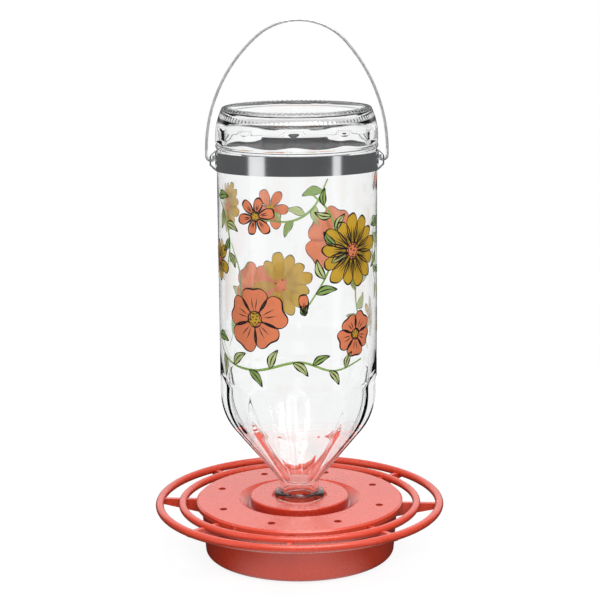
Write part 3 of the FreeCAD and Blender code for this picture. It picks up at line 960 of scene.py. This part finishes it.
        # slow waves round the bottle, which wind upward
        drift = (np.sin(3 * local + height * 0.05) * 0.35 + np.sin(7 * local - height * 0.11) * 0.25
                 + np.sin(17 * local + height * 0.06) * 0.22 * fluted)
        foot = min(1.0, max(0.0, (height - self.neck_top) / 12))
        top = min(1.0, max(0.0, (self.top - self.base_glass - self.push_up - height) / 6))
        return self.ripple * foot * top * (swell * 0.8 + drift * (0.25 + 0.75 * fluted))

    def build(self) -> bpy.types.Object:
        """Make the glass as one closed wall, with its thread.

        Returns:
            The glass, which takes the CAD bottle's place.
        """
        shell = Shell()
        angles = self.columns()
        flats = self.flat()
        outer = filled(self.outer(), self.outer_span)
        bearing = self.bearing()
        edge = (self.bearing_radius - self.bearing_width, self.top - self.bearing_dip)
        dome_out = [self.ring(x, z, angles, None)
                    for x, z in self.dome(edge, self.push_up - self.bearing_dip)]
        inner = filled(self.inner(), self.inner_span)
        dome_in = self.dome(inner[-1], self.push_up)
        rows = [self.ring(x, z, angles, None) for x, z in reversed(inner + dome_in)]
        rows += [self.ring(x, z, angles, flats) for x, z in outer]
        shell.grid(rows, close_columns=True)
        shell.zipped(rows[-1], bearing[0])
        shell.grid(bearing, close_columns=True)
        shell.zipped(bearing[-1], dome_out[0])
        shell.grid(dome_out, close_columns=True)
        shell.fan(rows[0], (0, 0, rows[0][0][2]), outward=False)
        shell.fan(dome_out[-1], (0, 0, dome_out[-1][0][2]))
        piece = shell.made("glass_bottle", ClearGlass(), "bottle", "clear_glass", sharp=40.0)
        weld(piece)
        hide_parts("bottle")
        self.thread()
        return piece

    def thread(self) -> None:
        """Wind the screw thread round the finish."""
        columns = self.thread_columns
        steps = int(self.thread_turns * columns)
        run_out = 10
        foot, flank, land = 1.3, 0.7, 0.4
        rows = []
        for k in range(steps + 1):
            angle = TURN * k / columns
            low = self.thread_start + self.thread_pitch * k / columns
            grow = min(1.0, k / run_out, (steps - k) / run_out)
            crest = self.finish_radius + self.thread_rise * grow
            profile = [(self.finish_radius - 0.2, low - foot), (crest - 0.25, low - flank),
                       (crest, low - land), (crest, low + land), (crest - 0.25, low + flank),
                       (self.finish_radius - 0.2, low + foot)]
            rows.append([(r * math.cos(angle), r * math.sin(angle), z) for r, z in profile])
        shell = Shell()
        shell.grid(rows, close_columns=True)
        for row, outward in ((rows[0], False), (rows[-1], True)):
            middle = tuple(sum(axis) / len(row) for axis in zip(*row))
            shell.fan(row, middle, outward)
        weld(shell.made("bottle_thread", ClearGlass(), "bottle", "clear_glass"))


def weld(piece: bpy.types.Object) -> None:
    """Join a piece's points that lie on each other, and face it outward.

    Args:
        piece: The piece.
    """
    shape = bmesh.new()
    shape.from_mesh(piece.data)
    bmesh.ops.remove_doubles(shape, verts=shape.verts, dist=SAME_PLACE)
    bmesh.ops.recalc_face_normals(shape, faces=shape.faces)
    shape.to_mesh(piece.data)
    shape.free()
    piece.data.update()


class Ink(Enum):
    """The inks of the print."""

    CORAL = EnamelInk("enamel_coral", (1.0, 0.30, 0.145))
    GOLD = EnamelInk("enamel_gold", (0.78, 0.47, 0.045))
    LEAF = EnamelInk("enamel_leaf_green", (0.66, 0.76, 0.32))
    STEM = EnamelInk("enamel_stem_green", (0.36, 0.54, 0.15))
    LINE = EnamelInk("enamel_line_black", (0.012, 0.011, 0.012), 0.05)


class Bloom(Enum):
    """The kinds of flower, as petals, petal width to length, and notch depth."""

    POPPY = (5, 0.98, 0.10)
    DAISY = (13, 0.40, 0.0)
    STAR = (6, 0.52, 0.0)


@dataclass
class FlowerPrint:
    """Meadow flowers printed round the label panel, drawn flat and laid on the glass.

    A place on the print is the distance round the glass from the front and the height.
    """

    radius: float = 45.0
    lift: float = 0.04
    layer: float = 0.008
    fill_layers: int = 10
    line_layer: int = 12
    line_width: float = 0.95
    stem_width: float = 1.5
    petal_points: int = 36
    petal_start: float = 0.16
    ripple: float = 0.018
    heart_share: float = 0.24
    dots: int = 9
    dot_share: float = 0.028
    leaf_share: float = 0.19
    leaf_bend: float = 0.10
    leaf_angle: float = 48.0
    shells: dict[Ink, Shell] = field(default_factory=lambda: {ink: Shell() for ink in Ink})
    level: int = 0

    def laid(self, places: Iterable[Sequence[float]], lift: float) -> list[tuple[float, ...]]:
        """Wrap places of the print onto the glass.

        Args:
            places: Distances round the glass and heights.
            lift: How far off the glass they lie.

        Returns:
            The points in space.
        """
        r = self.radius + lift
        return [(r * math.sin(u / self.radius), -r * math.cos(u / self.radius), v)
                for u, v in places]

    def patch(self, ink: Ink, outline: np.ndarray, heart: np.ndarray) -> None:
        """Fill a shape that can be seen whole from its heart.

        Args:
            ink: The ink.
            outline: The closed outline's places.
            heart: The place inside from which it is filled.
        """
        self.level += 1
        lift = self.lift + self.layer * (self.level % self.fill_layers)
        rings = [self.laid(heart + (outline - heart) * share, lift)
                 for share in (1.0, 0.72, 0.44, 0.2)]
        shell = self.shells[ink]
        shell.grid(rings, close_columns=True)
        shell.fan(rings[-1], self.laid([heart], lift)[0])

    def stroke(self, places: np.ndarray, width: float, ink: Ink = Ink.LINE,
               closed: bool = False, taper: float = 0.6) -> None:
        """Draw a pen line that swells in the middle.

        Args:
            places: The line's places.
            width: Its greatest width.
            ink: The ink.
            closed: Whether it ends where it starts.
            taper: How much thinner its ends are.
        """
        ahead = np.roll(places, -1, 0) - np.roll(places, 1, 0)
        if not closed:
            ahead[0], ahead[-1] = places[1] - places[0], places[-1] - places[-2]
        across = np.stack([-ahead[:, 1], ahead[:, 0]], 1)
        across /= np.maximum(np.linalg.norm(across, axis=1, keepdims=True), 1e-9)
        run = np.linspace(0, 1, len(places))
        swell = 1 - taper * (0.5 + 0.5 * np.cos(run * TURN * (3 if closed else 1)))
        half = (width / 2 * swell)[:, None] * across
        lift = self.lift + self.layer * (self.line_layer if ink is Ink.LINE else 0)
        rows = [self.laid(places - half, lift), self.laid(places + half, lift)]
        self.shells[ink].grid(rows, close_columns=closed)

    @staticmethod
    def turned(local: np.ndarray, angle: float, at: Sequence[float]) -> np.ndarray:
        """Turn local places by an angle in degrees and move them."""
        c, s = math.cos(math.radians(angle)), math.sin(math.radians(angle))
        return local @ np.array([[c, s], [-s, c]]) + np.array(at)

    def petal(self, at: Sequence[float], angle: float, length: float, width: float,
              ink: Ink, notch: float, start: float) -> None:
        """Print one petal with its outline and two veins.

        Args:
            at: The flower's middle.
            angle: The petal's direction in degrees.
            length: How far its tip reaches.
            width: Its greatest width.
            ink: The fill.
            notch: Depth of the dent in its tip.
            start: Where it starts, as a share of its length.
        """
        t = np.linspace(0, TURN, self.petal_points + 1)[:-1]
        along = 0.5 * (1 - np.cos(t))
        dent = notch * np.exp(-((t - math.pi) / 0.30) ** 2)
        wave = self.ripple * np.sin(5 * t + angle) * along
        x = length * (start + (1 - start) * (along - dent + wave))
        y = 0.5 * width * np.sin(t) * (0.42 + 0.58 * along) * 1.25
        outline = self.turned(np.stack([x, y], 1), angle, at)
        heart = self.turned(np.array([[length * (start + 0.52 * (1 - start)), 0.0]]), angle, at)[0]
        self.patch(ink, outline, heart)
        self.stroke(outline, self.line_width, closed=True)
        for side in (-1, 1):
            run = np.linspace(0.12, 0.62, 7)
            vein = np.stack([length * (start + (1 - start) * run),
                             side * width * 0.10 * np.sin(run * 2.2)], 1)
            self.stroke(self.turned(vein, angle, at), self.line_width * 0.6, taper=0.9)

    def bloom(self, kind: Bloom, at: Sequence[float], reach: float, turn: float, ink: Ink,
              heart: Ink) -> None:
        """Print one open flower.

        Args:
            kind: The kind of flower.
            at: Its middle.
            reach: Its radius.
            turn: How far it is turned, in degrees.
            ink: The petals' ink.
            heart: The middle's ink.
        """
        count, slim, notch = kind.value
        for k in [*range(0, count, 2), *range(1, count, 2)]:
            sway = 1 + 0.07 * math.sin(k * 2.4 + turn)
            self.petal(at, turn + 360 * k / count, reach * sway, reach * slim * sway, ink, notch,
                       self.petal_start)
        ring = np.linspace(0, TURN, 25)[:-1]
        disc = np.stack([np.cos(ring), np.sin(ring)], 1) * reach * self.heart_share + np.array(at)
        self.patch(heart, disc, np.array(at))
        self.stroke(disc, self.line_width, closed=True)
        small = np.stack([np.cos(ring[::3]), np.sin(ring[::3])], 1) * reach * self.dot_share
        for k in range(self.dots):
            dot = self.turned(np.array([[reach * 0.0675 * math.sqrt(k + 0.5), 0]]),
                              k * SEED_TURN, at)[0]
            self.patch(Ink.LINE, small + dot, dot)

    def leaf(self, at: Sequence[float], angle: float, length: float, ink: Ink = Ink.LEAF) -> None:
        """Print one pointed leaf with its midrib.

        Args:
            at: Where it leaves the stem.
            angle: Its direction in degrees.
            length: Its length.
            ink: The fill.
        """
        run = np.linspace(0, 1, 15)
        half = self.leaf_share * length * np.sin(np.pi * run ** 0.8)
        bend = self.leaf_bend * length * np.sin(np.pi * run)
        upper = np.stack([run * length, bend + half], 1)
        lower = np.stack([run * length, bend - half], 1)[::-1][1:-1]
        middle = np.stack([run * length, bend], 1)
        outline = self.turned(np.concatenate([upper, lower]), angle, at)
        self.patch(ink, outline, self.turned(middle[7:8], angle, at)[0])
        self.stroke(outline, self.line_width * 0.9, closed=True)
        self.stroke(self.turned(middle[:-2], angle, at), self.line_width * 0.7)

    def spray(self, places: Sequence[Sequence[float]], leaves: float, first: int = 1) -> None:
        """Print a stem with leaves on both sides by turns.

        Args:
            places: Points that the stem passes.
            leaves: The leaves' length.
            first: The side of the first leaf, 1 or -1.
        """
        knots = np.array(places, float)
        share = np.linspace(0, len(knots) - 1, 8 * (len(knots) - 1) + 1)
        stem = np.stack([smoothed(knots[:, axis], share) for axis in (0, 1)], 1)
        self.stroke(stem, self.stem_width, Ink.STEM, taper=0.35)
        side = first
        for k in range(3, len(stem) - 2, 4):
            step = stem[k + 1] - stem[k]
            way = math.degrees(math.atan2(step[1], step[0]))
            size = leaves * (1 - 0.35 * k / len(stem))
            ink = Ink.LEAF if (k // 4) % 3 else Ink.STEM
            self.leaf(stem[k], way + side * self.leaf_angle, size, ink)
            side = -side

    def bud(self, at: Sequence[float], angle: float, length: float, ink: Ink) -> None:
        """Print a closed bud in its green cup.

        Args:
            at: Its foot.
            angle: Its direction in degrees.
            length: Its length.
            ink: The petal's ink.
        """
        self.petal(at, angle, length, length * 0.46, ink, 0.0, 0.1)
        for off in (-16, 16):
            self.leaf(at, angle + off, length * 0.5, Ink.STEM)

    def build(self) -> None:
        """Print the whole design and lay it on the glass."""
        self.spray([(-66, 140), (-50, 122), (-26, 118), (0, 124), (20, 118), (40, 122)], 14.0)
        self.spray([(6, 156), (16, 172), (22, 190), (18, 206), (8, 217)], 13.0, -1)
        self.spray([(-62, 216), (-50, 204), (-44, 188), (-47, 172)], 13.0)
        self.spray([(66, 206), (58, 188), (60, 168), (70, 152)], 13.0, -1)
        self.bloom(Bloom.POPPY, (-25, 147), 18.5, 20, Ink.CORAL, Ink.GOLD)
        self.bloom(Bloom.DAISY, (33, 184), 20.0, 8, Ink.GOLD, Ink.CORAL)
        self.bloom(Bloom.POPPY, (35, 137), 12.5, 52, Ink.CORAL, Ink.GOLD)
        self.bloom(Bloom.STAR, (-24, 204), 11.0, 14, Ink.CORAL, Ink.GOLD)
        self.bloom(Bloom.STAR, (-58, 176), 12.0, 40, Ink.GOLD, Ink.CORAL)
        self.bud((4, 150), 96, 12, Ink.CORAL)
        self.bud((60, 214), 60, 11, Ink.CORAL)
        self.spray([(84, 118), (96, 132), (100, 152), (92, 170), (96, 190)], 15.0)
        self.spray([(-84, 120), (-98, 136), (-100, 160), (-90, 180)], 15.0, -1)
        self.spray([(122, 214), (132, 196), (146, 188), (164, 190)], 14.0)
        self.bloom(Bloom.POPPY, (118, 178), 19.0, 30, Ink.CORAL, Ink.GOLD)
        self.bloom(Bloom.DAISY, (152, 150), 19.0, 0, Ink.GOLD, Ink.CORAL)
        self.bloom(Bloom.POPPY, (-112, 148), 17.0, 64, Ink.CORAL, Ink.GOLD)
        self.bloom(Bloom.DAISY, (-86, 202), 14.0, 10, Ink.GOLD, Ink.CORAL)
        self.bloom(Bloom.STAR, (78, 138), 11.0, 25, Ink.GOLD, Ink.CORAL)
        self.bloom(Bloom.STAR, (-124, 196), 12.0, 5, Ink.CORAL, Ink.GOLD)
        for ink, shell in self.shells.items():
            shell.made(f"print_{ink.name.lower()}", ink.value, "bottle", "clear_glass")


def smoothed(knots: np.ndarray, share: np.ndarray) -> np.ndarray:
    """Pass a smooth curve through evenly counted knots.

    Args:
        knots: The values at 0, 1, 2 and so on.
        share: Where to read the curve.

    Returns:
        The curve's values there.
    """
    k = np.clip(share.astype(int), 0, len(knots) - 2)
    t = share - k
    padded = np.concatenate([[2 * knots[0] - knots[1]], knots, [2 * knots[-1] - knots[-2]]])
    a, b, c, d = padded[k], padded[k + 1], padded[k + 2], padded[k + 3]
    return 0.5 * (2 * b + (c - a) * t + (2 * a - 5 * b + 4 * c - d) * t ** 2
                  + (3 * b - a - 3 * c + d) * t ** 3)


@dataclass
class CadPieces:
    """The pieces whose CAD shape is right, and their finishes."""

    finishes: dict[str, Finish] = field(default_factory=lambda: {
        "bowl": CoralPlastic("coral_bowl_plastic"),
        "cover": CoralPlastic("coral_cover_plastic"),
        "band": StripSteel(),
        "bail": ZincWire()})

    def dress(self, nodes: dict[str, bpy.types.Object]) -> None:
        """Give each CAD node its finish.

        Args:
            nodes: The CAD nodes by name.
        """
        for name, finish in self.finishes.items():
            mesh = nodes[name].data
            mesh.materials.clear()
            mesh.materials.append(finish.material())
            log.info("%s: CAD piece in %s", name, finish.name)


@dataclass(frozen=True)
class Lamp:
    """One soft lamp that points at the feeder, in metres and watts."""

    name: str
    at: tuple[float, float, float]
    size: tuple[float, float]
    power: float
    seen_in_glass: bool = True
    aim: tuple[float, float, float] = (0.0, 0.0, 0.12)

    def hang(self) -> None:
        """Hang the lamp."""
        data = bpy.data.lights.new(self.name, "AREA")
        data.shape = "RECTANGLE"
        data.size, data.size_y = self.size
        data.energy = self.power
        lamp = bpy.data.objects.new(self.name, data)
        lamp.location = self.at
        lamp.visible_glossy = lamp.visible_transmission = self.seen_in_glass
        way = Vector(self.aim) - Vector(self.at)
        lamp.rotation_euler = way.to_track_quat("-Z", "Y").to_euler()
        bpy.context.scene.collection.objects.link(lamp)


@dataclass
class Studio:
    """Floor, world, lamps and camera, in metres.

    A window's four numbers are how far to the right, from -1 to 1, it starts to fade in, is
    whole, starts to fade out and is gone.
    """

    lens: float = 100.28
    camera_at: tuple[float, float, float] = (0.00114, -0.9345, 0.34465)
    camera_tilt: float = 78.21
    camera_roll: float = -0.43
    floor_level: float = -0.0006
    floor_middle: float = 0.1
    floor_reach: tuple[float, float] = (0.55, 0.5)
    floor_corners: int = 96
    left_window: tuple[float, float, float, float] = (-0.955, -0.93, -0.73, -0.70)
    right_window: tuple[float, float, float, float] = (0.76, 0.79, 0.88, 0.905)
    window_light: float = 0.95
    ceiling_light: float = 0.42
    dim_light: float = 0.12
    behind_light: float = 0.7
    lamps: tuple[Lamp, ...] = (
        Lamp("overhead_lamp", (0.10, -0.30, 1.20), (0.8, 0.8), 9.0),
        Lamp("front_lamp", (0.10, -1.3, 0.60), (1.0, 0.6), 9.0, seen_in_glass=False))

    def build(self) -> None:
        """Set up the whole studio."""
        self.world()
        self.floor()
        for lamp in self.lamps:
            lamp.hang()
        self.camera()
        bpy.context.scene.view_settings.view_transform = "Standard"

    def world(self) -> None:
        """Set up the room: white behind, bright above, with a window on each side.

        The camera sees plain white, and so does what looks through glass, only a little dimmer
        to the sides.
        """
        world = bpy.data.worlds.new("studio_world")
        world.use_nodes = True
        bpy.context.scene.world = world
        graph = Graph(world.node_tree)
        x, y, z = graph.value("ShaderNodeTexCoord", output="Generated").parts()
        level = (x * x + y * y + 0.0001).root()
        right, away = x / level, y / level
        windows = sum((right.ramp(start, whole) * right.ramp(gone, fading)
                       for start, whole, fading, gone in (self.left_window, self.right_window)), 0)
        windows = windows * away.ramp(0.05, -0.05) * z.ramp(0.75, 0.55)
        wall = away.ramp(0.62, 0.80) * z.ramp(0.75, 0.45)
        light = (windows * self.window_light + wall * z.ramp(-0.02, 0.15)
                 + z.ramp(0.25, 0.75) * self.ceiling_light + self.dim_light)
        through_glass = wall * (1 - self.behind_light) + self.behind_light

        def background(colour: object) -> Value:
            """One plain light from all around."""
            return graph.value("ShaderNodeBackground", {}, {"Color": colour, "Strength": 1.0})

        room = background(light.blend((0, 0, 0), (0.98, 0.99, 1)))
        behind = background(through_glass.blend((0, 0, 0), (1, 1, 1)))
        passed = graph.ray("Is Transmission Ray").most(
            graph.ray("Transmission Depth").ramp(0.2, 0.8) * 0.7)
        inside = graph.value("ShaderNodeMixShader", {}, {0: passed, 1: room, 2: behind})
        graph.finish(graph.value("ShaderNodeMixShader", {}, {
            0: graph.ray("Is Camera Ray"), 1: inside, 2: background((1, 1, 1))}),
            "ShaderNodeOutputWorld")

    def floor(self) -> None:
        """Lay the round sheet of paper that the feeder stands on."""
        wide, deep = self.floor_reach
        turns = [TURN * k / self.floor_corners for k in range(self.floor_corners)]
        rim = [(wide * math.cos(turn), self.floor_middle + deep * math.sin(turn),
                self.floor_level) for turn in turns]
        mesh = bpy.data.meshes.new("studio_floor")
        mesh.from_pydata(rim, [], [tuple(range(self.floor_corners))])
        mesh.materials.append(StudioPaper().material())
        floor = bpy.data.objects.new("studio_floor", mesh)
        bpy.context.scene.collection.objects.link(floor)
        floor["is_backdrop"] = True

    def camera(self) -> None:
        """Stand the camera where the photograph was taken from."""
        data = bpy.data.cameras.new("photo_camera")
        data.lens = self.lens
        data.sensor_width = 36.0
        data.clip_start = 0.01
        camera = bpy.data.objects.new("photo_camera", data)
        turn = (Matrix.Rotation(math.radians(self.camera_tilt), 4, "X")
                @ Matrix.Rotation(math.radians(self.camera_roll), 4, "Z"))
        camera.matrix_world = Matrix.Translation(self.camera_at) @ turn
        bpy.context.scene.collection.objects.link(camera)
        bpy.context.scene.camera = camera


def plain(box: object) -> object:
    """Turn a box of corners into plain lists.

    Args:
        box: The box, or a part of it.

    Returns:
        The same numbers in lists.
    """
    if hasattr(box, "tolist"):
        return box.tolist()
    if isinstance(box, (tuple, list, Vector)):
        return [plain(item) for item in box]
    return float(box)


def main() -> None:
    """Build the feeder's look on its CAD frame and report each piece."""
    logging.basicConfig(level=logging.INFO, format="%(name)s: %(message)s")
    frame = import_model()
    cad_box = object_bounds()
    CadPieces().dress(frame["nodes"])
    Bottle().build()
    FlowerPrint().build()
    Studio().build()
    {"cad": plain(cad_box), "visual": plain(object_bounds())}


if __name__ == "__main__":
    main()
